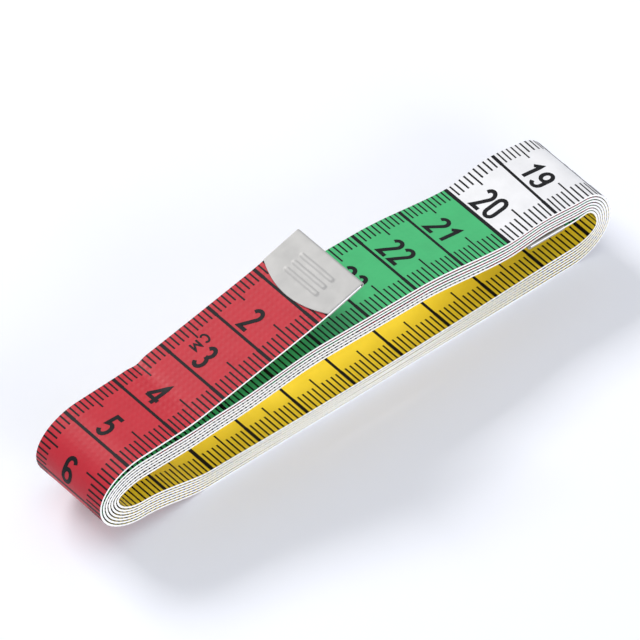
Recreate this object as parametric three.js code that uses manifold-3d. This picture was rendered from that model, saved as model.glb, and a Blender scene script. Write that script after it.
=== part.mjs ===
// Soft tape measure: a printed strip of coated cloth, wound flat into a long loop, with a folded
// sheet-metal clip on each end. Millimetres, +Z up. The strip's width runs along Y, the loop lies
// along X, and the middle of its lower run rests on Z = 0.

import * as THREE from "three";
import { mergeVertices } from "three/addons/utils/BufferGeometryUtils.js";
import Module from "manifold-3d";

const wasm = await Module();
wasm.setup();

// Strip
const TAPE_LENGTH = 1500; // the scale, from the outside edge of one clip to that of the other
const TAPE_WIDTH = 16;
const TAPE_THICKNESS = 0.25;

// Winding
const FULL_TURNS = 6; // turns before the last, which ends after its second bend
const TURN_GAP = 0.41; // clear space between one turn and the next
const BEND_HEIGHT = 14.1; // between the outer faces of the lower and the upper run at each end of the loop
const LEFT_BEND_LIFT = 2.5; // underside of the left bend above the table
const LEFT_NOSE_HEIGHT = 7.3; // the loop's left end above that
const LEFT_UPPER_REACH = 8.8; // from the upper run to the loop's left end: each half of a bend is a quarter ellipse
const LEFT_LOWER_REACH = 9; // and from the lower run
const RIGHT_BEND_LIFT = 0.5; // the same for the right bend, which is tighter
const RIGHT_NOSE_HEIGHT = 8.1;
const RIGHT_UPPER_REACH = 5.7;
const RIGHT_LOWER_REACH = 7.7;
const REST_LENGTH = 62; // middle of the lower run, which lies flat on the table
const CROWN_RISE = 2; // how far the upper run bows up between the bends
const CROWN_MIDDLE = 3; // where that bow is highest, along X
const CROWN_TOP_LENGTH = 20; // level stretch on top of the bow
const CROWN_LENGTH = 62; // from one foot of the bow to the other
const SHOULDER_RISE = 0.6; // a second, lower bow before the right bend
const SHOULDER_LENGTH = 17;

// Outer end, which stands off the winding
const FREE_END_LENGTH = 48.1; // from the left bend to the clip's outside edge
const FREE_END_ROOT = 4; // stays with the winding, up to the first line about which the end lifts
const FREE_END_SLOPE = 6; // degrees above level where it leaves the bend
const FREE_END_STRETCHES = [
  // from the bend outwards, each with the degrees by which it curls up
  { name: "free_end_root", curl: 4 },
  { name: "free_end_middle", curl: 1.5 },
  { name: "free_end_tip", curl: 3.5 },
];

// Inner end, which hangs a little way into the eye of the loop
const INNER_END_LENGTH = 12; // from the right bend to the clip's outside edge
const INNER_END_ROOT = 0.5; // stays with the winding
const INNER_END_DROOP = 4; // degrees below level where it leaves the bend
const INNER_END_STRETCHES = [{ name: "inner_end", curl: 0 }];

// Lines between the winding and the stretches of a loose end
const FOLD_GAP = 0.3;

// Clips, one sheet folded over the strip's end
const CLIP_SHEET = 0.3;
const CLIP_CLEARANCE = 0.1; // between the sheet and the strip inside it
const CLIP_OVERHANG = 0.15; // past each edge of the strip
const CLIP_SIDE_LENGTH = 7.75; // along each edge of the strip
const CLIP_ARCH = 2.1; // how far the rear edge bows out past that, in the middle
const CLIP_CORNER_RADIUS = 0.6; // at the ends of the fold

// Facets
const BEND_STEPS = 16;
const RUN_STEPS = 28;
const END_STEPS = 4;
const ARC_STEPS = 12;

const { degToRad, smoothstep, lerp } = THREE.MathUtils;
const BEND_TOP = 90; // direction in which a bend's outer face looks at the end of the upper run, in degrees
const BEND_FOOT = 270; // and at the end of the lower run
const TURN_PITCH = TAPE_THICKNESS + TURN_GAP;
const CLIP_HALF_SLOT = TAPE_THICKNESS / 2 + CLIP_CLEARANCE;
const CLIP_HALF_HEIGHT = CLIP_HALF_SLOT + CLIP_SHEET;
const CLIP_WIDTH = TAPE_WIDTH + 2 * CLIP_OVERHANG;
const CLIP_REACH = CLIP_SIDE_LENGTH + CLIP_ARCH;
const LEFT_BEND = {
  side: -1,
  lift: LEFT_BEND_LIFT,
  noseHeight: LEFT_NOSE_HEIGHT,
  upperReach: LEFT_UPPER_REACH,
  lowerReach: LEFT_LOWER_REACH,
};
const RIGHT_BEND = {
  side: 1,
  lift: RIGHT_BEND_LIFT,
  noseHeight: RIGHT_NOSE_HEIGHT,
  upperReach: RIGHT_UPPER_REACH,
  lowerReach: RIGHT_LOWER_REACH,
};

const coatedCloth = new THREE.MeshStandardMaterial({ color: 0xeeeef0, roughness: 0.55, metalness: 0 });
const redCloth = new THREE.MeshStandardMaterial({ color: 0xc8404c, roughness: 0.5, metalness: 0 });
const greenCloth = new THREE.MeshStandardMaterial({ color: 0x45b574, roughness: 0.5, metalness: 0 });
const nickelSheet = new THREE.MeshStandardMaterial({ color: 0xc9c8c4, roughness: 0.35, metalness: 1 });

// A point of the side view, with the unit normal that points into the loop.
function station(x, z, inwardX, inwardZ) {
  return { point: new THREE.Vector2(x, z), inward: new THREE.Vector2(inwardX, inwardZ).normalize() };
}

// Where the two runs of a loop of the given half length begin and end along X.
function runEnds(halfLength) {
  return {
    lower: { left: LEFT_LOWER_REACH - halfLength, right: halfLength - RIGHT_LOWER_REACH },
    upper: { left: LEFT_UPPER_REACH - halfLength, right: halfLength - RIGHT_UPPER_REACH },
  };
}

// Outer face of the loop along its lower run: flat on the table, then up to each bend.
function lowerRunHeight(x, { left, right }) {
  const leftRise = LEFT_BEND_LIFT * smoothstep(-x, REST_LENGTH / 2, -left);
  const rightRise = RIGHT_BEND_LIFT * smoothstep(x, REST_LENGTH / 2, right);
  return leftRise + rightRise;
}

// Outer face of the loop along its upper run: from bend to bend, bowed up in the middle.
function upperRunHeight(x, { left, right }) {
  const lift = lerp(LEFT_BEND_LIFT, RIGHT_BEND_LIFT, smoothstep(x, left, right));
  const crownFall = smoothstep(Math.abs(x - CROWN_MIDDLE), CROWN_TOP_LENGTH / 2, CROWN_LENGTH / 2);
  const shoulderMiddle = right - SHOULDER_LENGTH / 2;
  const shoulderFall = smoothstep(Math.abs(x - shoulderMiddle), 0, SHOULDER_LENGTH / 2);
  return lift + BEND_HEIGHT + CROWN_RISE * (1 - crownFall) + SHOULDER_RISE * (1 - shoulderFall);
}

// Stations of a bend, at a depth below its outer face, from one direction of that face to another.
function bend({ side, lift, noseHeight, upperReach, lowerReach }, halfLength, depth, startDegrees, endDegrees) {
  return Array.from({ length: BEND_STEPS + 1 }, (_, step) => {
    const angle = degToRad(lerp(startDegrees, endDegrees, step / BEND_STEPS));
    const x = Math.cos(angle);
    const z = Math.sin(angle);
    const reach = z > 0 ? upperReach : lowerReach;
    const rise = z > 0 ? BEND_HEIGHT - noseHeight : noseHeight;
    const span = Math.hypot(reach * x, rise * z);
    const faceX = side * (halfLength - reach) + (reach * reach * x) / span;
    const faceZ = lift + noseHeight + (rise * rise * z) / span;
    return station(faceX - depth * x, faceZ - depth * z, -x, -z);
  });
}

// Stations strictly between two bends, on the centre line of the strip. The depth below the loop's
// outer face is given for the share of the run that has gone by.
function run(height, ends, direction, depthAt) {
  const probe = 0.01;
  const [start, end] = direction > 0 ? [ends.left, ends.right] : [ends.right, ends.left];
  return Array.from({ length: RUN_STEPS - 1 }, (_, index) => {
    const share = (index + 1) / RUN_STEPS;
    const x = lerp(start, end, share);
    const slope = (height(x + probe, ends) - height(x - probe, ends)) / (2 * probe);
    const face = station(x, height(x, ends), -direction * slope, direction);
    face.point.addScaledVector(face.inward, depthAt(share));
    return face;
  });
}

// Centre line of the winding, from the bend that the outer end leaves to the one that the inner end
// leaves. Each turn goes down the left bend, along the lower run, up the right bend and back along
// the upper run, where it moves in by one pitch.
function windingPath(halfLength) {
  const ends = runEnds(halfLength);
  const path = [];
  for (let turn = 0; turn <= FULL_TURNS; turn++) {
    const depth = turn * TURN_PITCH + TAPE_THICKNESS / 2;
    const leftStart = turn === 0 ? BEND_TOP + FREE_END_SLOPE : BEND_TOP;
    const rightEnd = turn === FULL_TURNS ? BEND_TOP + INNER_END_DROOP : BEND_TOP;
    path.push(...bend(LEFT_BEND, halfLength, depth, leftStart, BEND_FOOT));
    path.push(...run(lowerRunHeight, ends.lower, 1, () => depth));
    path.push(...bend(RIGHT_BEND, halfLength, depth, BEND_FOOT - 360, rightEnd));
    if (turn < FULL_TURNS) {
      path.push(...run(upperRunHeight, ends.upper, -1, (share) => depth + TURN_PITCH * smoothstep(share, 0, 1)));
    }
  }
  return path;
}

function pathLength(path) {
  return path.slice(1).reduce((sum, next, i) => sum + next.point.distanceTo(path[i].point), 0);
}

// Least clear space between turns: from each station to the strip half a turn or more further on.
function leastGap(path) {
  const halfTurn = Math.floor(path.length / (2 * FULL_TURNS + 2));
  let least = Infinity;
  path.forEach(({ point }, i) => {
    for (let j = i + halfTurn; j < path.length - 1; j++) {
      const along = path[j + 1].point.clone().sub(path[j].point);
      const offset = point.clone().sub(path[j].point);
      const share = THREE.MathUtils.clamp(offset.dot(along) / along.lengthSq(), 0, 1);
      least = Math.min(least, offset.addScaledVector(along, -share).length());
    }
  });
  return least - TAPE_THICKNESS;
}

// Half the length of the loop that uses up the strip's whole length.
function solveHalfLength() {
  const wound = TAPE_LENGTH - FREE_END_LENGTH - INNER_END_LENGTH;
  const lengthPerUnit = 2 * (2 * FULL_TURNS + 1);
  let halfLength = wound / lengthPerUnit;
  for (let pass = 0; pass < 8; pass++) {
    halfLength += (wound - pathLength(windingPath(halfLength))) / lengthPerUnit;
  }
  return halfLength;
}

// The stretch of strip along a centre line: its side view, drawn out over the strip's width.
function stripGeometry(path) {
  const face = (side) => path.map(({ point, inward }) => point.clone().addScaledVector(inward, side));
  const outer = face(-TAPE_THICKNESS / 2);
  const inner = face(TAPE_THICKNESS / 2);
  const outline = new THREE.Shape([...outer, ...inner.reverse()]);
  return extrudeAlongY(outline, TAPE_WIDTH, 1);
}

// A side view, in X and Z, drawn out evenly to both sides of Y = 0.
function extrudeAlongY(shape, width, curveSegments) {
  const geometry = new THREE.ExtrudeGeometry(shape, { depth: width, bevelEnabled: false, curveSegments });
  return geometry.rotateX(Math.PI / 2).translate(0, width / 2, 0);
}

function toSolid(geometry) {
  const bare = geometry.clone();
  bare.deleteAttribute("normal");
  bare.deleteAttribute("uv");
  const merged = mergeVertices(bare);
  return new wasm.Manifold(
    new wasm.Mesh({
      numProp: 3,
      vertProperties: merged.attributes.position.array,
      triVerts: new Uint32Array(merged.index.array),
    }),
  );
}

function toGeometry(solid) {
  const mesh = solid.getMesh();
  const geometry = new THREE.BufferGeometry();
  geometry.setAttribute("position", new THREE.BufferAttribute(mesh.vertProperties, 3));
  geometry.setIndex(new THREE.BufferAttribute(mesh.triVerts, 1));
  geometry.computeVertexNormals();
  return geometry;
}

function namedMesh(name, geometry, material) {
  const mesh = new THREE.Mesh(geometry, material);
  mesh.name = name;
  return mesh;
}

// Side view of a clip: one sheet, folded to a round nose at X = 0, with the strip's slot inside.
function clipSideView() {
  const noseX = -CLIP_HALF_HEIGHT;
  const rear = -CLIP_REACH - CLIP_SHEET;
  const side = new THREE.Shape();
  side.moveTo(rear, -CLIP_HALF_HEIGHT);
  side.lineTo(noseX, -CLIP_HALF_HEIGHT);
  side.absarc(noseX, 0, CLIP_HALF_HEIGHT, -Math.PI / 2, Math.PI / 2, false);
  side.lineTo(rear, CLIP_HALF_HEIGHT);
  side.lineTo(rear, CLIP_HALF_SLOT);
  side.lineTo(noseX, CLIP_HALF_SLOT);
  side.absarc(noseX, 0, CLIP_HALF_SLOT, Math.PI / 2, -Math.PI / 2, true);
  side.lineTo(rear, -CLIP_HALF_SLOT);
  side.closePath();
  return side;
}

// Top view of a clip: a straight fold with rounded ends, straight sides and an arched rear edge.
function clipTopView() {
  const half = CLIP_WIDTH / 2;
  const round = CLIP_CORNER_RADIUS;
  const archRadius = (half * half + CLIP_ARCH * CLIP_ARCH) / (2 * CLIP_ARCH);
  const archAngle = Math.asin(half / archRadius);
  const archX = archRadius - CLIP_REACH;
  const top = new THREE.Shape();
  top.moveTo(-CLIP_SIDE_LENGTH, -half);
  top.lineTo(-round, -half);
  top.absarc(-round, -half + round, round, -Math.PI / 2, 0, false);
  top.absarc(-round, half - round, round, 0, Math.PI / 2, false);
  top.lineTo(-CLIP_SIDE_LENGTH, half);
  top.absarc(archX, 0, archRadius, Math.PI - archAngle, Math.PI + archAngle, false);
  top.closePath();
  return top;
}

function clipGeometry() {
  const folded = extrudeAlongY(clipSideView(), CLIP_WIDTH, ARC_STEPS);
  const blank = new THREE.ExtrudeGeometry(clipTopView(), {
    depth: 4 * CLIP_HALF_HEIGHT,
    bevelEnabled: false,
    curveSegments: ARC_STEPS,
  }).translate(0, 0, -2 * CLIP_HALF_HEIGHT);
  return toGeometry(toSolid(folded).intersect(toSolid(blank)));
}

// A place on a stretch of a loose end, which is drawn along +X from its fold line. The fold line lies
// on the face that the end folds towards. The strip curls up evenly at first, then runs straight.
function looseStation(distance, curlLength, curl) {
  const curled = Math.min(distance, curlLength);
  const heading = (curl * curled) / curlLength;
  const chord = heading === 0 ? curled : (2 * curled * Math.sin(heading / 2)) / heading;
  const straight = distance - curled;
  const x = chord * Math.cos(heading / 2) + straight * Math.cos(heading);
  const z = chord * Math.sin(heading / 2) + straight * Math.sin(heading);
  return station(x, z - TAPE_THICKNESS / 2, Math.sin(heading), -Math.cos(heading));
}

function loosePath(end, curlLength, curl) {
  const start = FOLD_GAP / 2;
  const curlEnd = Math.min(end, curlLength);
  const distances = Array.from({ length: END_STEPS + 1 }, (_, step) => lerp(start, curlEnd, step / END_STEPS));
  if (end > curlEnd) distances.push(end);
  return distances.map((distance) => looseStation(distance, curlLength, curl));
}

// A loose end: equal stretches of strip, each in a group that stands on its fold line and hangs on the
// stretch before. The last one runs straight into the clip and stops short of its fold.
function looseEnd(stretches, clipName, clipEdge, material) {
  const length = (clipEdge - CLIP_REACH) / stretches.length;
  const curls = stretches.map(({ curl }) => degToRad(curl));
  const groups = stretches.map(({ name }, index) => {
    const isTip = index === stretches.length - 1;
    const stripEnd = isTip ? length + CLIP_REACH - CLIP_HALF_HEIGHT : length - FOLD_GAP / 2;
    const group = new THREE.Group();
    group.name = name;
    group.add(namedMesh(`tape_${name}`, stripGeometry(loosePath(stripEnd, length, curls[index])), material));
    return group;
  });

  groups.slice(1).forEach((group, index) => {
    const fold = looseStation(length, length, curls[index]);
    fold.point.addScaledVector(fold.inward, -TAPE_THICKNESS / 2);
    group.position.set(fold.point.x, 0, fold.point.y);
    group.rotation.y = -curls[index];
    groups[index].add(group);
  });

  const clip = namedMesh(clipName, clipGeometry(), nickelSheet);
  const nose = looseStation(length + CLIP_REACH, length, curls.at(-1)).point;
  clip.position.set(nose.x, 0, nose.y);
  clip.rotation.y = -curls.at(-1);
  groups.at(-1).add(clip);
  return groups[0];
}

const wound = windingPath(solveHalfLength());
const first = wound[0];
const last = wound[wound.length - 1];

// The winding keeps a short straight root of each loose end.
const outwardAngle = degToRad(FREE_END_SLOPE);
const inwardAngle = Math.PI + degToRad(INNER_END_DROOP);
const outwardWay = new THREE.Vector2(Math.cos(outwardAngle), Math.sin(outwardAngle));
const inwardWay = new THREE.Vector2(Math.cos(inwardAngle), Math.sin(inwardAngle));
const outerFold = first.point.clone().addScaledVector(outwardWay, FREE_END_ROOT);
const innerFold = last.point.clone().addScaledVector(inwardWay, INNER_END_ROOT);
const outerRoot = outerFold.clone().addScaledVector(outwardWay, -FOLD_GAP / 2);
const innerRoot = innerFold.clone().addScaledVector(inwardWay, -FOLD_GAP / 2);
const windingStations = [
  { point: outerRoot, inward: first.inward },
  ...wound,
  { point: innerRoot, inward: last.inward },
];
const winding = namedMesh("tape_winding", stripGeometry(windingStations), coatedCloth);

// The outer end folds away from the loop, so its fold line is on the strip's outer face.
const outerFoldLine = outerFold.clone().addScaledVector(first.inward, -TAPE_THICKNESS / 2);
const freeEnd = looseEnd(
  FREE_END_STRETCHES,
  "free_end_clip",
  FREE_END_LENGTH - FREE_END_ROOT,
  redCloth,
);
freeEnd.position.set(outerFoldLine.x, 0, outerFoldLine.y);
freeEnd.rotation.y = -outwardAngle;

// The inner end folds into the loop, so its fold line is on the strip's inner face.
const innerFoldLine = innerFold.clone().addScaledVector(last.inward, TAPE_THICKNESS / 2);
const innerEnd = looseEnd(
  INNER_END_STRETCHES,
  "inner_end_clip",
  INNER_END_LENGTH - INNER_END_ROOT,
  greenCloth,
);
innerEnd.position.set(innerFoldLine.x, 0, innerFoldLine.y);
innerEnd.rotation.y = -inwardAngle;

console.log("least gap between turns, mm:", leastGap(wound).toFixed(3));
console.log("strip between the loose ends, mm:", pathLength(wound).toFixed(2));

const tapeMeasure = new THREE.Group();
tapeMeasure.name = "tape_measure";
tapeMeasure.add(winding, freeEnd, innerEnd);

export default tapeMeasure;
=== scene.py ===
import math

import bmesh
import bpy
from mathutils import Matrix, Vector


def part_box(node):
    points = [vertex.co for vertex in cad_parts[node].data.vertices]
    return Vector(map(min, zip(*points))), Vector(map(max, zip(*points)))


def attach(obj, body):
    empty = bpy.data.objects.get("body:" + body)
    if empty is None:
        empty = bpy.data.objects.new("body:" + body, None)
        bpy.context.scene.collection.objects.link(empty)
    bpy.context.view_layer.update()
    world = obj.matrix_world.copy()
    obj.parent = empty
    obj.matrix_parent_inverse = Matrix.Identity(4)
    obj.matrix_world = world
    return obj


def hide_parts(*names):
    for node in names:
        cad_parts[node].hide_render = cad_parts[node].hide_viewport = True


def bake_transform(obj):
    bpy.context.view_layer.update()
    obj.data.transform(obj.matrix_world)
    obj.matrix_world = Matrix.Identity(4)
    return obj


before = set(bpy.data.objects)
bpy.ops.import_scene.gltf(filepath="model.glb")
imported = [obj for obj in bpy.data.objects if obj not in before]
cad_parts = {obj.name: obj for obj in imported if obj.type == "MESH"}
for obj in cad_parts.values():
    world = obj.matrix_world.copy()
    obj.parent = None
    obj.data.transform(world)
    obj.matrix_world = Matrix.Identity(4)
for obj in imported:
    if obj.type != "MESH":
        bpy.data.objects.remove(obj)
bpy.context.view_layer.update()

mm = 0.001
scene = bpy.context.scene

# Strip
# One band of woven cloth with a plastic coat bonded to both faces: fields of red, white and green
# in front, ten centimetres each, and yellow behind. Its cut edges stay white. It is wound on
# itself from the inside out, with no reel, so only its own stiffness gives the loop its form.
STRIP_LENGTH = 1500 * mm
STRIP_WIDTH = 16 * mm
STRIP_THICKNESS = 0.35 * mm
STRIP_STEP = 0.5 * mm  # longest straight piece along the strip
STRIP_DRIFT = 0.08 * mm  # how far a turn may stand out sideways from the next
DRIFT_LENGTH = 70 * mm  # about how far along the strip one such sway goes
FIELD_LENGTH = 100 * mm

# From one turn to the next: at the nose of a bend, at its upper and lower ends, and in mid run
FULL_TURNS = 6
LEFT_NOSE_PITCH = 0.58 * mm
LEFT_UPPER_PITCH = 0.67 * mm
LEFT_LOWER_PITCH = 0.58 * mm
RIGHT_NOSE_PITCH = 0.45 * mm
RIGHT_UPPER_PITCH = 0.6 * mm
RIGHT_LOWER_PITCH = 0.63 * mm
MIDDLE_UPPER_PITCH = 0.67 * mm
MIDDLE_LOWER_PITCH = 0.48 * mm
MIDDLE_POWER = 1.5  # the higher, the shorter the stretch with the middle's pitch
STAND_OFF = 0.55 * mm  # extra room under the outer end, where it leaves the left bend
STAND_OFF_SHARES = (0.8, 0.92)  # where it begins and is full, along the upper run from the right
TURN_RIPPLE = 0.02 * mm  # the strip isn't quite even, so the turns don't lie quite parallel
RIPPLE_WAVES = 2  # in a run
RIPPLE_SHIFT = 0.38  # of a wave, from one turn to the next

# The outer face of the loop: each half of a bend is a quarter ellipse
BEND_HEIGHT = 14.1 * mm
LEFT_BEND_LIFT = 2.2 * mm  # above the table
LEFT_NOSE_HEIGHT = 7.3 * mm  # above the bend's underside
LEFT_UPPER_REACH = 9.2 * mm
LEFT_LOWER_REACH = 9 * mm
RIGHT_BEND_LIFT = 0.05 * mm
RIGHT_NOSE_HEIGHT = 6.9 * mm
RIGHT_UPPER_REACH = 5.7 * mm
RIGHT_LOWER_REACH = 8.5 * mm
REST_LENGTH = 62 * mm  # of the lower run, flat on the table
CROWN_RISE = 2 * mm  # the upper run is bowed in the middle
CROWN_MIDDLE = 3 * mm
CROWN_TOP_LENGTH = 20 * mm
CROWN_LENGTH = 62 * mm
SHOULDER_RISE = 0.6 * mm  # and a little before the right bend
SHOULDER_LENGTH = 17 * mm
SOLVE_ROUNDS = 6  # to find the loop's length from the strip's

# The loose ends in parts, from the winding on: length in millimetres, curl in degrees
FREE_END_SLOPE = math.radians(2.5)
FREE_END_PARTS = ((7.8, 0), (5.0, 8.9), (14.0, 1.0), (8.6, 0), (4.0, 5.0), (7.9, 0))
INNER_END_DROOP = math.radians(7)
INNER_END_PARTS = ((1.2, 0), (1.2, -8.5), (9.6, 0))

# A dent in the far edge, where the free end was folded once
CREASE_PLACE = 35.2 * mm
CREASE_REACH = 2.2 * mm
CREASE_DEPTH = 0.45 * mm

# A place where the far edge of the outermost turn stands off, before the right bend
BULGE_PLACE = 189 * mm
BULGE_REACH = 11 * mm
BULGE_RISE = 1.0 * mm


def eased(value, start, end):
    """Nothing up to start, one from end on, and a soft passage between them."""
    share = min(max((value - start) / (end - start), 0), 1)
    return share * share * (3 - 2 * share)


def lower_run_height(x, left, right):
    left_rise = LEFT_BEND_LIFT * eased(-x, REST_LENGTH / 2, -left)
    return left_rise + RIGHT_BEND_LIFT * eased(x, REST_LENGTH / 2, right)


def upper_run_height(x, left, right):
    lift = LEFT_BEND_LIFT + (RIGHT_BEND_LIFT - LEFT_BEND_LIFT) * eased(x, left, right)
    crown_fall = eased(abs(x - CROWN_MIDDLE), CROWN_TOP_LENGTH / 2, CROWN_LENGTH / 2)
    shoulder_fall = eased(abs(x - right + SHOULDER_LENGTH / 2), 0, SHOULDER_LENGTH / 2)
    return lift + BEND_HEIGHT + CROWN_RISE * (1 - crown_fall) + SHOULDER_RISE * (1 - shoulder_fall)


def run_depth(share, turn, pitches, moved=0.0):
    """How far a turn's centre line lies below the outer face, at a share of a run."""
    start_pitch, middle_pitch, end_pitch = pitches
    bulge = math.sin(math.pi * share)
    pitch = start_pitch + (end_pitch - start_pitch) * eased(share, 0, 1)
    pitch += (middle_pitch - pitch) * bulge**MIDDLE_POWER
    wave = math.sin(math.tau * (RIPPLE_WAVES * share + RIPPLE_SHIFT * turn))
    ripple = TURN_RIPPLE * bulge * wave if turn else 0
    return STRIP_THICKNESS / 2 + (turn + moved) * pitch + ripple


def lower_depth(share, turn):
    return run_depth(share, turn, (LEFT_LOWER_PITCH, MIDDLE_LOWER_PITCH, RIGHT_LOWER_PITCH))


def upper_depth(share, turn):
    """On its way to the left, an upper run moves in by one turn."""
    room = STAND_OFF * eased(share, *STAND_OFF_SHARES)
    pitches = (RIGHT_UPPER_PITCH, MIDDLE_UPPER_PITCH, LEFT_UPPER_PITCH)
    return room + run_depth(share, turn, pitches, eased(share, 0, 1))


def bend_depths(turn, *pitches):
    return [STRIP_THICKNESS / 2 + turn * pitch for pitch in pitches]


def bend_points(nose, upper_reach, lower_reach, upper_rise, lower_rise, depths, start, end):
    """Points of a bend below its outer face, between two directions of that face.

    depths: at the nose, at the upper end and at the lower end.
    """
    nose_depth, upper_end_depth, lower_end_depth = depths
    side = 1 if nose.x > 0 else -1
    count = math.ceil(upper_reach * (end - start) / STRIP_STEP)
    points = []
    for step in range(count + 1):
        angle = start + (end - start) * step / count
        outward = Vector((math.cos(angle), 0, math.sin(angle)))
        if outward.z > 0:
            reach, rise, end_depth = upper_reach, upper_rise, upper_end_depth
        else:
            reach, rise, end_depth = lower_reach, lower_rise, lower_end_depth
        span = math.hypot(reach * outward.x, rise * outward.z)
        face = Vector((reach**2 * outward.x, 0, rise**2 * outward.z)) / span
        depth = nose_depth + (end_depth - nose_depth) * outward.z**2
        points.append(nose - Vector((side * reach, 0, 0)) + face - outward * depth)
    return points


def run_points(height, left, right, direction, depth_at, turn):
    """Points of a run below its outer face, to the right (1) or to the left (-1)."""
    count = math.ceil((right - left) / STRIP_STEP)
    points = []
    for step in range(1, count):
        share = step / count
        x = left + (right - left) * (share if direction > 0 else 1 - share)
        rise = height(x + STRIP_STEP, left, right) - height(x - STRIP_STEP, left, right)
        inward = Vector((-rise / (2 * STRIP_STEP), 0, 1)).normalized() * direction
        points.append(Vector((x, 0, height(x, left, right))) + inward * depth_at(share, turn))
    return points


def winding_points(half_length):
    """Centre line of the wound strip, from the outer end's bend to the inner end's."""
    left_nose = Vector((-half_length, 0, LEFT_BEND_LIFT + LEFT_NOSE_HEIGHT))
    left_rises = (BEND_HEIGHT - LEFT_NOSE_HEIGHT, LEFT_NOSE_HEIGHT)
    left_bend = (left_nose, LEFT_UPPER_REACH, LEFT_LOWER_REACH, *left_rises)
    right_nose = Vector((half_length, 0, RIGHT_BEND_LIFT + RIGHT_NOSE_HEIGHT))
    right_rises = (BEND_HEIGHT - RIGHT_NOSE_HEIGHT, RIGHT_NOSE_HEIGHT)
    right_bend = (right_nose, RIGHT_UPPER_REACH, RIGHT_LOWER_REACH, *right_rises)
    lower_ends = (LEFT_LOWER_REACH - half_length, half_length - RIGHT_LOWER_REACH)
    upper_ends = (LEFT_UPPER_REACH - half_length, half_length - RIGHT_UPPER_REACH)
    points = []
    for turn in range(FULL_TURNS + 1):
        left_start = math.pi / 2 + (FREE_END_SLOPE if turn == 0 else 0)
        left_depths = bend_depths(turn, LEFT_NOSE_PITCH, LEFT_UPPER_PITCH, LEFT_LOWER_PITCH)
        left_depths[1] += STAND_OFF if turn else 0
        points += bend_points(*left_bend, left_depths, left_start, 1.5 * math.pi)
        points += run_points(lower_run_height, *lower_ends, 1, lower_depth, turn)
        right_end = math.pi / 2 + (INNER_END_DROOP if turn == FULL_TURNS else 0)
        right_depths = bend_depths(turn, RIGHT_NOSE_PITCH, RIGHT_UPPER_PITCH, RIGHT_LOWER_PITCH)
        points += bend_points(*right_bend, right_depths, -math.pi / 2, right_end)
        if turn < FULL_TURNS:
            points += run_points(upper_run_height, *upper_ends, -1, upper_depth, turn)
    return points


def loose_points(start, heading, parts):
    """A loose end from the winding outwards, in parts that each curl up evenly."""
    points = [start]
    for length_mm, curl in parts:
        length = length_mm * mm
        count = math.ceil(length / STRIP_STEP)
        for step in range(count):
            way = heading + math.radians(curl) * (step + 0.5) / count
            stride = Vector((math.cos(way), 0, math.sin(way))) * (length / count)
            points.append(points[-1] + stride)
        heading += math.radians(curl)
    return points[1:]


def loose_length(parts):
    return sum(length_mm for length_mm, curl in parts) * mm


def polyline_length(points):
    return sum((b - a).length for a, b in zip(points, points[1:]))


def add_object(name, data):
    thing = bpy.data.objects.new(name, data)
    scene.collection.objects.link(thing)
    return thing


wound_length = STRIP_LENGTH - loose_length(FREE_END_PARTS) - loose_length(INNER_END_PARTS)
half_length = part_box("tape_winding")[1].x
for _ in range(SOLVE_ROUNDS):
    spare = wound_length - polyline_length(winding_points(half_length))
    half_length += spare / (2 * (2 * FULL_TURNS + 1))
wound = winding_points(half_length)
outer_end = loose_points(wound[0], FREE_END_SLOPE, FREE_END_PARTS)
inner_end = loose_points(wound[-1], math.pi + INNER_END_DROOP, INNER_END_PARTS)
route_points = outer_end[::-1] + wound + inner_end

route_curve = bpy.data.curves.new("strip_route", "CURVE")
route_curve.dimensions = "3D"
route_spline = route_curve.splines.new("POLY")
route_spline.points.add(len(route_points) - 1)
for route_point, place in zip(route_spline.points, route_points):
    route_point.co = (*place, 1)
route = add_object("strip_route", route_curve)


def new_tree(name, inputs):
    """A node tree with the named inputs, and the sockets that carry them."""
    tree = bpy.data.node_groups.new(name, "GeometryNodeTree")
    for label, kind in inputs.items():
        tree.interface.new_socket(label, in_out="INPUT", socket_type=f"NodeSocket{kind}")
    tree.interface.new_socket("Geometry", in_out="OUTPUT", socket_type="NodeSocketGeometry")
    return tree, tree.nodes.new("NodeGroupInput").outputs


def end_tree(tree, geometry):
    tree.links.new(geometry, tree.nodes.new("NodeGroupOutput").inputs["Geometry"])


def set_inputs(tree, node, inputs):
    """Links inputs, by name or number, to a socket or sets them to a value."""
    for key, value in inputs.items():
        if isinstance(value, bpy.types.NodeSocket):
            tree.links.new(value, node.inputs[key])
        else:
            node.inputs[key].default_value = value


def add_node(tree, kind, inputs=(), **settings):
    node = tree.nodes.new(kind)
    for setting, value in settings.items():
        setattr(node, setting, value)
    set_inputs(tree, node, dict(inputs))
    return node


def value_of(tree, kind, inputs=(), output=0, **settings):
    """One output of a new node."""
    return add_node(tree, kind, inputs, **settings).outputs[output]


def calc(tree, operation, *values):
    return value_of(tree, "ShaderNodeMath", dict(enumerate(values)), operation=operation)


def vector_calc(tree, operation, inputs):
    return value_of(tree, "ShaderNodeVectorMath", inputs, operation=operation)


def combine(tree, **parts):
    return value_of(tree, "ShaderNodeCombineXYZ", parts)


def separate(tree, vector):
    return add_node(tree, "ShaderNodeSeparateXYZ", {0: vector}).outputs


def map_range(tree, value, low, high, start=0.0, end=1.0, **settings):
    """A value that goes from low to high while the given one goes from start to end."""
    inputs = {"Value": value, "From Min": start, "From Max": end, "To Min": low, "To Max": high}
    return value_of(tree, "ShaderNodeMapRange", inputs, **settings)


def pick(tree, selector, when_true, when_false):
    inputs = {"Switch": selector, "True": when_true, "False": when_false}
    return value_of(tree, "GeometryNodeSwitch", inputs, input_type="FLOAT")


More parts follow.
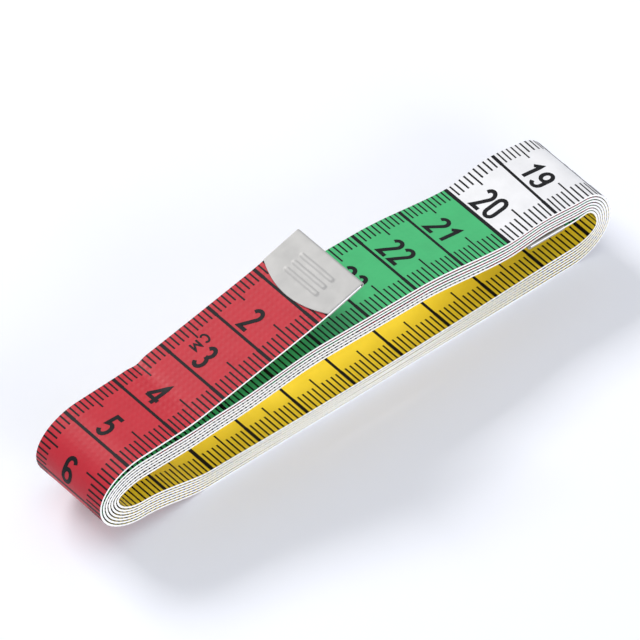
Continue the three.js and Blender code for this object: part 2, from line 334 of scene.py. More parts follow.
# The tree that lays flat geometry on the route: X is the distance along the strip from its zero
# end, Y the place across it, and Z the height from its centre line towards the inside of the loop
LAY_INPUTS = {
    "Route": "Object",
    "Drift": "Float",
    "Half Width": "Float",
    "Crease Place": "Float",
    "Crease Reach": "Float",
    "Crease Depth": "Float",
    "Bulge Place": "Float",
    "Bulge Reach": "Float",
    "Bulge Rise": "Float",
}
lay_tree, given = new_tree("lay_on_route", {"Geometry": "Geometry", **LAY_INPUTS})
flat = separate(lay_tree, value_of(lay_tree, "GeometryNodeInputPosition"))
curve = value_of(lay_tree, "GeometryNodeObjectInfo", {"Object": given["Route"]}, "Geometry")
sample = add_node(
    lay_tree,
    "GeometryNodeSampleCurve",
    {"Curves": curve, "Length": flat["X"]},
    mode="LENGTH",
    use_all_curves=True,
).outputs
inward = vector_calc(lay_tree, "CROSS_PRODUCT", {0: sample["Tangent"], 1: (0, 1, 0)})


def along_share(place, reach):
    """One at a place along the strip, falling softly to nothing within a reach of it."""
    away = calc(lay_tree, "ABSOLUTE", calc(lay_tree, "SUBTRACT", flat["X"], place))
    return map_range(lay_tree, away, 1.0, 0.0, end=reach, interpolation_type="SMOOTHSTEP")


far_half = map_range(lay_tree, flat["Y"], 0.0, given["Crease Depth"], end=given["Half Width"])
crease_share = along_share(given["Crease Place"], given["Crease Reach"])
crease = calc(lay_tree, "MULTIPLY", crease_share, far_half)
near_edge = calc(lay_tree, "MULTIPLY", given["Half Width"], -1.0)
far_side = map_range(lay_tree, flat["Y"], 0.0, given["Bulge Rise"], near_edge, given["Half Width"])
bulge_share = along_share(given["Bulge Place"], given["Bulge Reach"])
bulge = calc(lay_tree, "MULTIPLY", bulge_share, far_side)
height = calc(lay_tree, "ADD", flat["Z"], calc(lay_tree, "SUBTRACT", crease, bulge))
raised = vector_calc(lay_tree, "SCALE", {0: inward, "Scale": height})
wander = value_of(
    lay_tree,
    "ShaderNodeTexNoise",
    {"W": flat["X"], "Scale": 1 / DRIFT_LENGTH, "Detail": 1.0},
    noise_dimensions="1D",
)
sideways = calc(lay_tree, "MULTIPLY", calc(lay_tree, "SUBTRACT", wander, 0.5), given["Drift"])
across = combine(lay_tree, Y=calc(lay_tree, "ADD", flat["Y"], sideways))
placed = vector_calc(lay_tree, "ADD", {0: sample["Position"], 1: raised})
placed = vector_calc(lay_tree, "ADD", {0: placed, 1: across})
lay_inputs = {"Geometry": given["Geometry"], "Position": placed}
end_tree(lay_tree, value_of(lay_tree, "GeometryNodeSetPosition", lay_inputs))


def lay(tree, given, geometry):
    inputs = {"Geometry": geometry, **{label: given[label] for label in LAY_INPUTS}}
    return value_of(tree, "GeometryNodeGroup", inputs, "Geometry", node_tree=lay_tree)


lay_values = {
    "Route": route,
    "Drift": STRIP_DRIFT,
    "Half Width": STRIP_WIDTH / 2,
    "Crease Place": CREASE_PLACE,
    "Crease Reach": CREASE_REACH,
    "Crease Depth": CREASE_DEPTH,
    "Bulge Place": BULGE_PLACE,
    "Bulge Reach": BULGE_REACH,
    "Bulge Rise": BULGE_RISE,
}

# The tree that makes a stretch of strip: a flat bar, marked by field and laid on the route
FIELD_ORDER = ["Red", "White", "Green", "White"]
FACE_MATERIALS = [*FIELD_ORDER, "Reverse", "Edge"]
REVERSE_NUMBER = float(FACE_MATERIALS.index("Reverse"))
EDGE_NUMBER = float(FACE_MATERIALS.index("Edge"))
NUMBER_TOLERANCE = 0.1
FACING_LIMIT = 0.5  # a face of the bar looks up or down where its normal's height is past this
CORNER_ANGLE = 0.7  # in radians: sharper edges of the bar aren't smoothed
strip_tree, given = new_tree(
    "strip",
    {
        **LAY_INPUTS,
        "Start": "Float",
        "End": "Float",
        "Width": "Float",
        "Thickness": "Float",
        "Step": "Float",
        "Field Length": "Float",
        **{label: "Material" for label in FACE_MATERIALS},
    },
)
span = calc(strip_tree, "SUBTRACT", given["End"], given["Start"])
middle = calc(strip_tree, "MULTIPLY", calc(strip_tree, "ADD", given["End"], given["Start"]), 0.5)
steps = calc(strip_tree, "CEIL", calc(strip_tree, "DIVIDE", span, given["Step"]))
bar_inputs = {
    "Size": combine(strip_tree, X=span, Y=given["Width"], Z=given["Thickness"]),
    "Vertices X": calc(strip_tree, "ADD", steps, 1.0),
    "Vertices Y": 3,
    "Vertices Z": 2,
}
bar = value_of(strip_tree, "GeometryNodeMeshCube", bar_inputs, "Mesh")
bar_inputs = {"Geometry": bar, "Translation": combine(strip_tree, X=middle)}
bar = value_of(strip_tree, "GeometryNodeTransform", bar_inputs)
on_bar = separate(strip_tree, value_of(strip_tree, "GeometryNodeInputPosition"))
facing = separate(strip_tree, value_of(strip_tree, "GeometryNodeInputNormal"))["Z"]
fields_before = calc(strip_tree, "DIVIDE", on_bar["X"], given["Field Length"])
field_number = calc(strip_tree, "FLOOR", fields_before)
cycle = calc(strip_tree, "FLOORED_MODULO", field_number, float(len(FIELD_ORDER)))
is_front = calc(strip_tree, "LESS_THAN", facing, -FACING_LIMIT)
is_reverse = calc(strip_tree, "GREATER_THAN", facing, FACING_LIMIT)
not_front = pick(strip_tree, is_reverse, REVERSE_NUMBER, EDGE_NUMBER)
field = pick(strip_tree, is_front, cycle, not_front)


def store(geometry, name, value, **settings):
    inputs = {"Geometry": geometry, "Name": name, "Value": value}
    return value_of(strip_tree, "GeometryNodeStoreNamedAttribute", inputs, **settings)


def shade(geometry, smooth, selection, domain):
    inputs = {"Geometry": geometry, "Selection": selection, "Shade Smooth": smooth}
    return value_of(strip_tree, "GeometryNodeSetShadeSmooth", inputs, domain=domain)


bar = store(bar, "field", field, data_type="INT", domain="FACE")
weave_along = calc(strip_tree, "DIVIDE", on_bar["X"], given["Width"])
weave_across = calc(strip_tree, "ADD", on_bar["Y"], on_bar["Z"])
weave_across = calc(strip_tree, "DIVIDE", weave_across, given["Width"])
weave_place = combine(strip_tree, X=weave_along, Y=weave_across)
bar = store(bar, "UVMap", weave_place, data_type="FLOAT2", domain="CORNER")
edge_angle = value_of(strip_tree, "GeometryNodeInputMeshEdgeAngle", output="Unsigned Angle")
corner = calc(strip_tree, "GREATER_THAN", edge_angle, CORNER_ANGLE)
bar = shade(shade(bar, True, True, "FACE"), False, corner, "EDGE")
laid_bar = lay(strip_tree, given, bar)
bar = value_of(strip_tree, "GeometryNodeRealizeInstances", {"Geometry": laid_bar})
field_mark = value_of(
    strip_tree, "GeometryNodeInputNamedAttribute", {"Name": "field"}, "Attribute", data_type="INT"
)
for number, label in enumerate(FACE_MATERIALS):
    chosen = calc(strip_tree, "COMPARE", field_mark, float(number), NUMBER_TOLERANCE)
    bar_inputs = {"Geometry": bar, "Selection": chosen, "Material": given[label]}
    bar = value_of(strip_tree, "GeometryNodeSetMaterial", bar_inputs)
end_tree(strip_tree, bar)

# The coat: scales are per width of the strip
COAT_ROUGHNESS = 0.42
COAT_SHINE = 0.3
COAT_RELIEF = 0.35
COAT_SHADES = (0.96, 1.03)  # of its colour, from place to place
GLOSS_SPREAD = (-0.05, 0.07)  # of its roughness
NOISE_RANGE = (0.3, 0.7)  # that a noise texture mostly keeps to
MOTTLE_SCALE = 5.0
THREAD_SCALE = 4.6
UNEVEN_SCALE = 2.2
UNEVEN_HEIGHT = 3.0  # against that of the threads
THREAD_DEPTH = 0.035 * mm
CREASE_SPREAD = 0.3  # in widths: so near to the crease, the relief is up to twice as strong


def new_material(name):
    """A material, its tree and its shader."""
    material = bpy.data.materials.new(name)
    material.use_nodes = True
    return material, material.node_tree, material.node_tree.nodes["Principled BSDF"]


def noise(tree, place, scale, detail):
    inputs = {"Vector": place, "Scale": scale, "Detail": detail}
    return value_of(tree, "ShaderNodeTexNoise", inputs)


def coated_cloth(name, colour, roughness=COAT_ROUGHNESS, relief=COAT_RELIEF):
    """Plastic coat on cloth: satin, a little uneven, with the cloth's threads showing through."""
    material, tree, shader = new_material(name)
    place = value_of(tree, "ShaderNodeUVMap", uv_map="UVMap")
    mottle = noise(tree, place, MOTTLE_SCALE, 3.0)
    tone = map_range(tree, mottle, *COAT_SHADES, *NOISE_RANGE)
    tinted = vector_calc(tree, "SCALE", {0: colour, "Scale": tone})
    glossy, dull = (roughness + spread for spread in GLOSS_SPREAD)
    gloss = map_range(tree, mottle, glossy, dull, *NOISE_RANGE)
    threads = [
        value_of(
            tree,
            "ShaderNodeTexWave",
            {"Vector": place, "Scale": THREAD_SCALE, "Distortion": 0.4, "Detail": 1.0},
            "Fac",
            wave_type="BANDS",
            bands_direction=way,
            wave_profile="SIN",
        )
        for way in ("X", "Y")
    ]
    weave = calc(tree, "MULTIPLY", *threads)
    uneven = noise(tree, place, UNEVEN_SCALE, 2.0)
    height = calc(tree, "ADD", weave, calc(tree, "MULTIPLY", uneven, UNEVEN_HEIGHT))
    along = separate(tree, place)["X"]
    crease_middle = (CREASE_PLACE + CREASE_REACH) / STRIP_WIDTH
    from_crease = calc(tree, "ABSOLUTE", calc(tree, "SUBTRACT", along, crease_middle))
    strength = map_range(tree, from_crease, 2 * relief, relief, end=CREASE_SPREAD)
    bump_inputs = {"Height": height, "Strength": strength, "Distance": THREAD_DEPTH}
    coat = {
        "Base Color": tinted,
        "Roughness": gloss,
        "Specular IOR Level": COAT_SHINE,
        "Normal": value_of(tree, "ShaderNodeBump", bump_inputs),
    }
    set_inputs(tree, shader, coat)
    return material


red_cloth = coated_cloth("red_coat", (0.50, 0.016, 0.031))
white_cloth = coated_cloth("white_coat", (0.84, 0.84, 0.86))
green_cloth = coated_cloth("green_coat", (0.055, 0.455, 0.165))
yellow_cloth = coated_cloth("yellow_coat", (0.89, 0.685, 0.034))
cut_edge = coated_cloth("cut_edge", (0.90, 0.90, 0.90), roughness=0.7, relief=0.5)


def made_by(tree, name, values, base=None):
    """A plain mesh object, made by a node tree from the named values."""
    maker = add_object(name, base or bpy.data.meshes.new(name))
    modifier = maker.modifiers.new(tree.name, "NODES")
    modifier.node_group = tree
    for socket in tree.interface.items_tree:
        if socket.in_out == "INPUT" and socket.name in values:
            modifier[socket.identifier] = values[socket.name]
    depsgraph = bpy.context.evaluated_depsgraph_get()
    mesh = bpy.data.meshes.new_from_object(maker.evaluated_get(depsgraph), depsgraph=depsgraph)
    maker.modifiers.remove(modifier)
    maker.data = mesh
    return maker


# The strip is cut about halfway between its fold lines, so that each stretch that moves on its own
# takes in its own fold line. Places are measured from the zero end.
STRIP_START = 0.6 * mm  # inside the fold of each clip
TIP_CUT = 26.9 * mm
MIDDLE_CUT = 38.4 * mm
ROOT_CUT = 50.2 * mm
INNER_CUT = STRIP_LENGTH - 15 * mm
STRETCHES = {
    "free_end_tip": (STRIP_START, TIP_CUT),
    "free_end_middle": (TIP_CUT, MIDDLE_CUT),
    "free_end_root": (MIDDLE_CUT, ROOT_CUT),
    "winding": (ROOT_CUT, INNER_CUT),
    "inner_end": (INNER_CUT, STRIP_LENGTH - STRIP_START),
}


def follow(piece, stretch):
    """Puts a piece of the strip, or of its print, on the winding's body if it is of the winding;
    any other piece keeps its place baked into its mesh.
    """
    if stretch == "winding":
        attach(piece, "winding")
        return
    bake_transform(piece)


strip_values = {
    **lay_values,
    "Width": STRIP_WIDTH,
    "Thickness": STRIP_THICKNESS,
    "Step": STRIP_STEP,
    "Field Length": FIELD_LENGTH,
    "Red": red_cloth,
    "White": white_cloth,
    "Green": green_cloth,
    "Reverse": yellow_cloth,
    "Edge": cut_edge,
}
for stretch, (start, end) in STRETCHES.items():
    strip = made_by(strip_tree, f"strip_{stretch}", {**strip_values, "Start": start, "End": end})
    follow(strip, stretch)
    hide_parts(f"tape_{stretch}")

# Scale lines
# Black lines printed on the coat of both faces: one for each millimetre along both edges, longer at
# five millimetres, and one across the whole strip at each centimetre, heavier where a field ends.
INK_DEPTH = 0.05 * mm  # as drawn, half of it sunk into the coat
LINE_DEPTH_SHARE = 0.7  # so that no faces coincide where a line across meets its ticks
INK_MARGIN = 0.01 * mm
TICK_STROKE = 0.3 * mm
CENTIMETRE_STROKE = 0.52 * mm
FIELD_STROKE = 0.72 * mm
EDGE_STROKE = 0.62 * mm  # a centimetre line is heavier among the ticks
TICK_LENGTHS = {
    "front": {
        "Near Tick": 3.4 * mm,
        "Near Half": 5.2 * mm,
        "Far Tick": 2.5 * mm,
        "Far Half": 3.6 * mm,
    },
    "reverse": {
        "Near Tick": 3.75 * mm,
        "Near Half": 5.6 * mm,
        "Far Tick": 2.5 * mm,
        "Far Half": 4.2 * mm,
    },
}

marks_tree, given = new_tree(
    "scale_lines",
    {
        **LAY_INPUTS,
        "First": "Int",
        "Last": "Int",
        "Height": "Float",
        "Depth": "Float",
        "Width": "Float",
        "Near Tick": "Float",
        "Near Half": "Float",
        "Far Tick": "Float",
        "Far Half": "Float",
        "Tick Stroke": "Float",
        "Edge Stroke": "Float",
        "Centimetre Stroke": "Float",
        "Field Stroke": "Float",
        "Ink": "Material",
    },
)
first_along = calc(marks_tree, "MULTIPLY", given["First"], mm)
last_index = calc(marks_tree, "SUBTRACT", given["Last"], given["First"])
millimetres = value_of(
    marks_tree,
    "GeometryNodeMeshLine",
    {
        "Count": calc(marks_tree, "ADD", last_index, 1.0),
        "Start Location": combine(marks_tree, X=first_along, Z=given["Height"]),
        "Offset": (mm, 0, 0),
    },
    mode="OFFSET",
)
index = value_of(marks_tree, "GeometryNodeInputIndex")
number = calc(marks_tree, "ADD", index, given["First"])


def divides(divisor):
    remainder = calc(marks_tree, "FLOORED_MODULO", number, divisor)
    return calc(marks_tree, "LESS_THAN", remainder, 0.5)


is_five, is_centimetre, is_field = divides(5.0), divides(10.0), divides(100.0)
is_half = calc(marks_tree, "SUBTRACT", is_five, is_centimetre)
unit_bar = value_of(marks_tree, "GeometryNodeMeshCube", {"Size": (1, 1, 1)}, "Mesh")


def bars(points, selection, stroke, length, depth):
    size = combine(marks_tree, X=stroke, Y=length, Z=depth)
    inputs = {"Points": points, "Selection": selection, "Instance": unit_bar, "Scale": size}
    return value_of(marks_tree, "GeometryNodeInstanceOnPoints", inputs)


all_marks = add_node(marks_tree, "GeometryNodeJoinGeometry")
for side, edge in ((-1, "Near"), (1, "Far")):
    tick_length = pick(marks_tree, is_half, given[f"{edge} Half"], given[f"{edge} Tick"])
    inset = calc(marks_tree, "SUBTRACT", given["Width"], tick_length)
    offset = combine(marks_tree, Y=calc(marks_tree, "MULTIPLY", inset, side * 0.5))
    edge_inputs = {"Geometry": millimetres, "Offset": offset}
    edge_points = value_of(marks_tree, "GeometryNodeSetPosition", edge_inputs)
    stroke = pick(marks_tree, is_centimetre, given["Edge Stroke"], given["Tick Stroke"])
    ticks = bars(edge_points, True, stroke, tick_length, given["Depth"])
    marks_tree.links.new(ticks, all_marks.inputs[0])
line_stroke = pick(marks_tree, is_field, given["Field Stroke"], given["Centimetre Stroke"])
line_depth = calc(marks_tree, "MULTIPLY", given["Depth"], LINE_DEPTH_SHARE)
cross_lines = bars(millimetres, is_centimetre, line_stroke, given["Width"], line_depth)
marks_tree.links.new(cross_lines, all_marks.inputs[0])
marks = value_of(marks_tree, "GeometryNodeRealizeInstances", {"Geometry": all_marks.outputs[0]})
mark_inputs = {"Geometry": lay(marks_tree, given, marks), "Material": given["Ink"]}
end_tree(marks_tree, value_of(marks_tree, "GeometryNodeSetMaterial", mark_inputs))


def two_tone(tree, share, dark, light):
    ramp = add_node(tree, "ShaderNodeValToRGB", {"Fac": share})
    for element, colour in zip(ramp.color_ramp.elements, (dark, light)):
        element.color = (*colour, 1)
    return ramp.outputs["Color"]


INK_GRAIN_SCALE = 2500.0
ink, ink_tree, ink_shader = new_material("printing_ink")
ink_place = value_of(ink_tree, "ShaderNodeTexCoord", output="Object")
ink_grain = noise(ink_tree, ink_place, INK_GRAIN_SCALE, 2.0)
ink_colour = two_tone(ink_tree, ink_grain, (0.003, 0.003, 0.004), (0.008, 0.008, 0.010))
ink_look = {"Base Color": ink_colour, "Roughness": 0.4, "Specular IOR Level": 0.14}
set_inputs(ink_tree, ink_shader, ink_look)

FACE_SIDES = {"front": -1, "reverse": 1}
line_values = {
    **lay_values,
    "Depth": INK_DEPTH,
    "Width": STRIP_WIDTH - 2 * INK_MARGIN,
    "Tick Stroke": TICK_STROKE,
    "Edge Stroke": EDGE_STROKE,
    "Centimetre Stroke": CENTIMETRE_STROKE,
    "Field Stroke": FIELD_STROKE,
    "Ink": ink,
}
for stretch, (start, end) in STRETCHES.items():
    for face, side in FACE_SIDES.items():
        lines = made_by(
            marks_tree,
            f"lines_{face}_{stretch}",
            {
                **line_values,
                **TICK_LENGTHS[face],
                "First": math.ceil(start / mm),
                "Last": math.floor(end / mm),
                "Height": side * STRIP_THICKNESS / 2,
            },
        )
        follow(lines, stretch)

# Numerals
# Printed with the lines: one number for each centimetre, in the middle of the strip, on the side
# of its line that is nearer to zero, with its head towards zero. The reverse counts from the
# other end.
LAST_CENTIMETRE = 150
DIGIT_WIDTH = 1.7 * mm  # between the middles of the strokes
DIGIT_HEIGHT = 4.25 * mm
DIGIT_STROKE = 0.72 * mm
DIGIT_ADVANCE = 2.72 * mm
DIGIT_BASE = 1.1 * mm  # from the line to the middle of the lowest stroke
DIGIT_PIECE = 0.55 * mm  # longest straight piece, so that a number bends with the strip
FACE_OFFSETS = {"front": 0.55 * mm, "reverse": 1.5 * mm}  # the ticks are longer on the near side
UNIT_WIDTH = 1.05 * mm
UNIT_HEIGHT = 1.75 * mm
UNIT_STROKE = 0.36 * mm
UNIT_ADVANCE = 1.8 * mm
UNIT_PLACE = (23.8 * mm, 4.3 * mm)  # along the strip and across it, where the unit label begins
ARC_STEP = 24  # degrees, at most, in one piece of a round stroke
MITRE_LIMIT = 0.5  # a sharper corner of a stroke is cut short
STROKE_LAYER = 0.2  # each later stroke of a digit is thinner by this share of the ink's depth
CLOSED_GAP = 0.01 * mm
MERGE_GAP = 0.001 * mm


def arc(x, y, across, up, start, end):
    """Points of a stroke round an ellipse, in degrees, in shares of a digit's width and height."""
    count = math.ceil(abs(end - start) / ARC_STEP)
    angles = [math.radians(start + (end - start) * step / count) for step in range(count + 1)]
    return [(x + across * math.cos(a), y + up * math.sin(a)) for a in angles]


ROUND = 0.24  # a digit's round end, as a share of its height
ZERO_TOP = arc(0.5, 1 - ROUND, 0.5, ROUND, 0, 180)
ZERO_BOTTOM = arc(0.5, ROUND, 0.5, ROUND, 180, 360)
NINE_BOWL = arc(0.5, 0.735, 0.5, 0.265, 0, 360)
NINE_STEM = [(1, 0.735), (1, ROUND)] + arc(0.5, ROUND, 0.5, ROUND, 0, -160)[1:]
DIGITS = {
    "0": [ZERO_TOP + ZERO_BOTTOM + [(1, 1 - ROUND)]],
    "1": [[(0.12, 0.76), (0.66, 1), (0.66, 0)]],
    "2": [arc(0.5, 1 - ROUND, 0.5, ROUND, 165, -38) + [(0.02, 0), (1, 0)]],
    "3": [arc(0.48, 0.765, 0.45, 0.235, 155, -90), arc(0.48, 0.265, 0.5, 0.265, 90, -155)],
    "4": [[(0.78, 0), (0.78, 1.02), (-0.3, 0.24)], [(-0.4, 0.24), (1.2, 0.24)]],
    "5": [[(0.92, 1), (0.14, 1), (0.06, 0.53)] + arc(0.46, 0.295, 0.52, 0.295, 115, -150)],
    "6": [[(1 - x, 1 - y) for x, y in stroke] for stroke in (NINE_BOWL, NINE_STEM)],
    "7": [[(0, 1), (1, 1), (0.36, 0)]],
    "8": [arc(0.5, 0.765, 0.45, 0.235, 90, 450), arc(0.5, 0.265, 0.5, 0.265, 90, 450)],
    "9": [NINE_BOWL, NINE_STEM],
    "C": [arc(0.5, 0.5, 0.55, 0.5, 45, 315)],
    "M": [[(0, 0), (0, 1), (0.64, 0.25), (1.28, 1), (1.28, 0)]],
}


def ink_stroke(bm, points, stroke, depth, place):
    """A printed stroke along points in metres, with square ends and mitred corners."""
    spots = [Vector(points[0])]
    for a, b in zip(map(Vector, points), map(Vector, points[1:])):
        pieces = math.ceil((b - a).length / DIGIT_PIECE)
        spots += [a.lerp(b, step / pieces) for step in range(1, pieces + 1)]
    ways = [(b - a).normalized() for a, b in zip(spots, spots[1:])]
    closed = (spots[0] - spots[-1]).length < CLOSED_GAP
    sections = []
    for index, spot in enumerate(spots):
        before = ways[index - 1] if index or closed else ways[0]
        after = ways[index] if index < len(ways) else (ways[0] if closed else ways[-1])
        left = Vector((-before.y - after.y, before.x + after.x)).normalized()
        reach = stroke / 2 / max(left.dot(Vector((-after.y, after.x))), MITRE_LIMIT)
        corners = (spot + left * reach, spot - left * reach)
        levels = (depth / 2, -depth / 2)
        sections.append([bm.verts.new(place(p.x, p.y, up)) for up in levels for p in corners])
    for (a, b, c, d), (e, f, g, h) in zip(sections, sections[1:]):
        for corners in ((a, b, f, e), (d, c, g, h), (b, d, h, f), (c, a, e, g)):
            bm.faces.new(corners)
    if not closed:
        for end in (sections[0], sections[-1]):
            a, b, c, d = end
            bm.faces.new((a, c, d, b) if end is sections[0] else (a, b, d, c))


def write(bm, text, origin, reading, heads, side, width, height, advance, stroke):
    """Adds a line of text to flat geometry.

    reading, heads: the ways the line and its digits' heads point, along the strip and across it.
    """

    def at(x, y, up):
        along = origin[0] + x * reading[0] + y * heads[0]
        across = origin[1] + x * reading[1] + y * heads[1]
        return Vector((along, across, side * (STRIP_THICKNESS / 2 + up)))

    for place, letter in enumerate(text):
        left = place * advance
        for layer, shares in enumerate(DIGITS[letter]):
            points = [(left + x * width, y * height) for x, y in shares]
            depth = INK_DEPTH * (1 - STROKE_LAYER * layer)  # no faces coincide where strokes cross
            ink_stroke(bm, points, stroke, depth, at)


def numbers_mesh(face, start, end):
    """The numbers of one face of a stretch, flat, and the unit label where it falls in it."""
    bm = bmesh.new()
    side = FACE_SIDES[face]
    digit_sizes = (DIGIT_WIDTH, DIGIT_HEIGHT, DIGIT_ADVANCE, DIGIT_STROKE)
    unit_sizes = (UNIT_WIDTH, UNIT_HEIGHT, UNIT_ADVANCE, UNIT_STROKE)
    for centimetre in range(1, LAST_CENTIMETRE):
        line = centimetre * 10 * mm
        middle = line + side * (DIGIT_BASE + DIGIT_HEIGHT / 2)
        if not start <= middle < end:
            continue
        text = str(centimetre if face == "front" else LAST_CENTIMETRE - centimetre)
        text_width = DIGIT_WIDTH + (len(text) - 1) * DIGIT_ADVANCE
        origin = (line + side * DIGIT_BASE, text_width / 2 + FACE_OFFSETS[face])
        write(bm, text, origin, (0, -1), (side, 0), side, *digit_sizes)
    if face == "front" and start <= UNIT_PLACE[0] < end:
        write(bm, "CM", UNIT_PLACE, (1, 0), (0, -1), side, *unit_sizes)
    bmesh.ops.remove_doubles(bm, verts=bm.verts, dist=MERGE_GAP)
    bmesh.ops.recalc_face_normals(bm, faces=bm.faces)
    mesh = bpy.data.meshes.new("numbers")
    bm.to_mesh(mesh)
    bm.free()
    mesh.materials.append(ink)
    return mesh


for stretch, (start, end) in STRETCHES.items():
    for face in FACE_SIDES:
        flat_numbers = numbers_mesh(face, start, end)
        if not flat_numbers.polygons:
            continue
        numbers = made_by(lay_tree, f"numerals_{face}_{stretch}", lay_values, base=flat_numbers)
        follow(numbers, stretch)

bpy.data.objects.remove(route)

# End clips
# One piece of matt nickel-plated sheet on each end of the strip, folded over it and crimped tight.
# The fold is straight and the rear edge arched. Three plain ribs are pressed into the front.
CLIP_WIDTH = 16.3 * mm
CLIP_SIDE = 7.75 * mm
CLIP_ARCH = 2.1 * mm
CLIP_SHEET = 0.24 * mm
CLIP_CREVICE = 0.02 * mm
CLIP_DEBURR = 0.07 * mm
DEBURR_ANGLE = math.radians(50)  # blunter edges stay as they are
RIB_PLACES = (-3.1 * mm, -4.8 * mm, -6.5 * mm)
RIB_LENGTH = 8.2 * mm
RIB_WIDTH = 0.85 * mm
RIB_TOP = 0.28  # half of its flat top, as a share of its width
RIB_RISE = 0.15 * mm
CLIP_STEPS_ALONG = 56
CLIP_STEPS_ACROSS = 80
CLIP_STEPS_NOSE = 8
CLIP_AIM_STEPS = 5  # of the strip's end, that a clip is lined up with
NICKEL_GRAIN_SCALE = 4500.0
NICKEL_CLOUD_SCALE = 350.0
NICKEL_ROUGHNESS = (0.62, 0.74)
NICKEL_GRAIN_DEPTH = 0.015 * mm

nickel, nickel_tree, nickel_shader = new_material("matt_nickel")
nickel_place = value_of(nickel_tree, "ShaderNodeTexCoord", output="Object")
nickel_grain = noise(nickel_tree, nickel_place, NICKEL_GRAIN_SCALE, 3.0)
nickel_cloud = noise(nickel_tree, nickel_place, NICKEL_CLOUD_SCALE, 3.0)
nickel_colour = two_tone(nickel_tree, nickel_cloud, (0.35, 0.345, 0.338), (0.43, 0.425, 0.418))
grain_inputs = {"Height": nickel_grain, "Strength": 0.4, "Distance": NICKEL_GRAIN_DEPTH}
nickel_look = {
    "Base Color": nickel_colour,
    "Metallic": 1.0,
    "Roughness": map_range(nickel_tree, nickel_cloud, *NICKEL_ROUGHNESS, *NOISE_RANGE),
    "Normal": value_of(nickel_tree, "ShaderNodeBump", grain_inputs),
}
set_inputs(nickel_tree, nickel_shader, nickel_look)


def rib_height(along, across):
    """How far the pressed ribs raise the front of a clip at a place on it."""
    beyond = max(abs(across) - (RIB_LENGTH - RIB_WIDTH) / 2, 0)
    away = min(math.hypot(along - place, beyond) for place in RIB_PLACES)
    return RIB_RISE * (1 - eased(away, RIB_WIDTH * RIB_TOP, RIB_WIDTH / 2))


def clip_mesh():
    """The folded sheet's middle surface, with its nose at the origin and its front up."""
    bm = bmesh.new()
    half_gap = STRIP_THICKNESS / 2 + CLIP_CREVICE
    level = half_gap + CLIP_SHEET / 2
    nose = -half_gap - CLIP_SHEET
    rows = []
    for step in range(CLIP_STEPS_ACROSS + 1):
        share = 2 * step / CLIP_STEPS_ACROSS - 1
        across = share * (CLIP_WIDTH - CLIP_SHEET) / 2
        rear = -CLIP_SIDE - CLIP_ARCH * (1 - share * share)
        plate = [rear + (nose - rear) * k / CLIP_STEPS_ALONG for k in range(CLIP_STEPS_ALONG)]
        turn = [math.pi / 2 - math.pi * k / CLIP_STEPS_NOSE for k in range(CLIP_STEPS_NOSE + 1)]
        row = [(x, level + rib_height(x, across)) for x in plate]
        row += [(nose + level * math.cos(a), level * math.sin(a)) for a in turn]
        row += [(x, -level) for x in reversed(plate)]
        rows.append([bm.verts.new((x, across, z)) for x, z in row])
    for near, far in zip(rows, rows[1:]):
        for a, b, c, d in zip(near, near[1:], far[1:], far):
            bm.faces.new((a, b, c, d))
    bmesh.ops.recalc_face_normals(bm, faces=bm.faces)
    mesh = bpy.data.meshes.new("clip")
    bm.to_mesh(mesh)
    bm.free()
    return mesh


def add_clip(name, body, node, nose, way):
    """A clip with its fold at nose, pointing along way, its front up."""
    clip = add_object(name, clip_mesh())
    way = way.normalized()
    front = way.cross(Vector((0, 1, 0)))
    front = front if front.z > 0 else -front
    side = front.cross(way)
    clip.data.transform(Matrix((way, side, front)).transposed().to_4x4())
    clip.data.transform(Matrix.Translation(nose))
    wall = clip.modifiers.new("sheet", "SOLIDIFY")
    wall.thickness = CLIP_SHEET
    wall.offset = 0
    wall.use_even_offset = True
    rounding = clip.modifiers.new("deburred", "BEVEL")
    rounding.width = CLIP_DEBURR
    rounding.segments = 2
    rounding.limit_method = "ANGLE"
    rounding.angle_limit = DEBURR_ANGLE
    clip.data.materials.append(nickel)
    clip.data.shade_smooth()
    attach(clip, body)
    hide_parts(node)


outer_way = route_points[0] - route_points[CLIP_AIM_STEPS]
inner_way = route_points[-1] - route_points[-1 - CLIP_AIM_STEPS]
add_clip("clip_free_end", "free_end_tip", "free_end_clip", route_points[0], outer_way)
add_clip("clip_inner_end", "inner_end", "inner_end_clip", route_points[-1], inner_way)

# Table
# A plain white sweep that the roll lies on, so pale in the photograph that only a shadow shows it.
# A faint glow, for the camera and for reflections alone, keeps it near white.
TABLE_REACH = 2.0
TABLE_DROP = 0.02 * mm  # so that it doesn't coincide with the strip's underside
TABLE_GLOW = 0.13


def seen_share(tree, *kinds):
    """One for these kinds of ray, nothing for others."""
    rays = add_node(tree, "ShaderNodeLightPath").outputs
    share = rays[kinds[0]]
    for kind in kinds[1:]:
        share = calc(tree, "MAXIMUM", share, rays[kind])
    return share


table_mesh = bpy.data.meshes.new("table")
table_sides = ((-1, -1), (1, -1), (1, 1), (-1, 1))
table_corners = [(x * TABLE_REACH, y * TABLE_REACH, -TABLE_DROP) for x, y in table_sides]
table_mesh.from_pydata(table_corners, [], [(0, 1, 2, 3)])
floor = add_object("table", table_mesh)
paper, paper_tree, paper_shader = new_material("white_table")
table_seen = seen_share(paper_tree, "Is Camera Ray", "Is Glossy Ray")
paper_look = {
    "Base Color": (0.80, 0.82, 0.89, 1),
    "Roughness": 0.9,
    "Specular IOR Level": 0.1,
    "Emission Color": (1, 1, 1, 1),
    "Emission Strength": calc(paper_tree, "MULTIPLY", table_seen, TABLE_GLOW),
}
set_inputs(paper_tree, paper_shader, paper_look)
table_mesh.materials.append(paper)

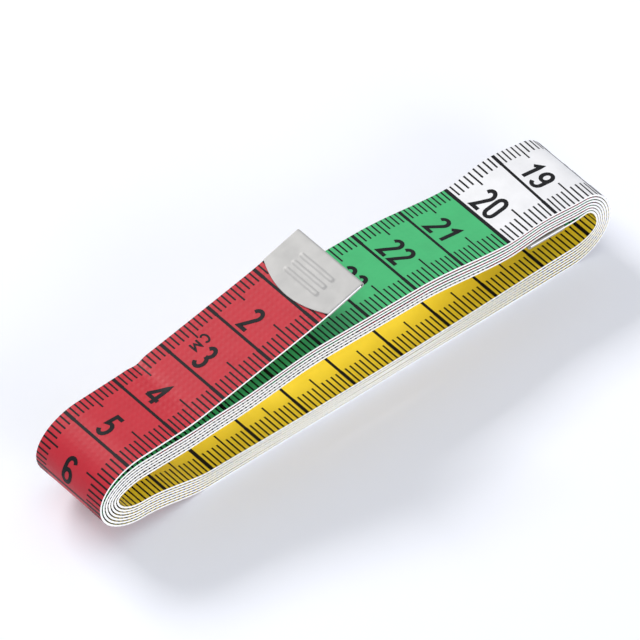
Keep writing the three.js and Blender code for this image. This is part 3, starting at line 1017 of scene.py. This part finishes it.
# Light
# Even studio light: a bright room all round, a broad lamp behind the roll that throws its shadow
# towards the camera, and a weaker, larger one in front for the edges and the yellow face.
SKY_COLOUR = (0.94, 0.96, 1.0, 1)
SKY_LIGHT = 0.53
SKY_SEEN = 1.0  # white where it is in sight
world = bpy.data.worlds.new("studio")
scene.world = world
world.use_nodes = True
world_tree = world.node_tree
sky_seen = seen_share(world_tree, "Is Camera Ray", "Is Glossy Ray", "Is Transmission Ray")
sky_strength = map_range(world_tree, sky_seen, SKY_LIGHT, SKY_SEEN)
sky_look = {"Color": SKY_COLOUR, "Strength": sky_strength}
set_inputs(world_tree, world_tree.nodes["Background"], sky_look)


def add_area_light(name, place, target, width, height, power, colour):
    data = bpy.data.lights.new(name, "AREA")
    data.shape = "RECTANGLE"
    data.size = width
    data.size_y = height
    data.energy = power
    data.color = colour
    light = add_object(name, data)
    light.location = place
    light.rotation_mode = "QUATERNION"
    light.rotation_quaternion = (Vector(target) - Vector(place)).to_track_quat("-Z", "Y")


add_area_light(
    "key",
    place=(-0.05, 0.73, 0.56),
    target=(0, 0, 0),
    width=0.5,
    height=0.24,
    power=6.4,
    colour=(1.0, 0.985, 0.96),
)
add_area_light(
    "front_fill",
    place=(-0.12, -0.86, 0.26),
    target=(0, 0, 0.01),
    width=0.6,
    height=0.6,
    power=5.3,
    colour=(1.0, 1.0, 1.0),
)

# Camera
# A long lens from the front left, fitted to the printed centimetre lines of the photograph.
CAMERA_AZIMUTH = math.radians(-40.22)
CAMERA_ELEVATION = math.radians(45.49)
CAMERA_DISTANCE = 2065.7 * mm
CAMERA_TARGET = Vector((-8.29 * mm, -8.23 * mm, 23.23 * mm))
camera_data = bpy.data.cameras.new("camera")
camera_data.sensor_width = 36
camera_data.lens = 728
camera_data.clip_start = 0.1
camera_data.clip_end = 10
camera = add_object("camera", camera_data)
back = Vector(
    (
        math.sin(CAMERA_AZIMUTH) * math.cos(CAMERA_ELEVATION),
        -math.cos(CAMERA_AZIMUTH) * math.cos(CAMERA_ELEVATION),
        math.sin(CAMERA_ELEVATION),
    )
)
camera.location = CAMERA_TARGET + back * CAMERA_DISTANCE
camera.rotation_mode = "QUATERNION"
camera.rotation_quaternion = (-back).to_track_quat("-Z", "Y")
scene.camera = camera
scene.view_settings.view_transform = "Standard"
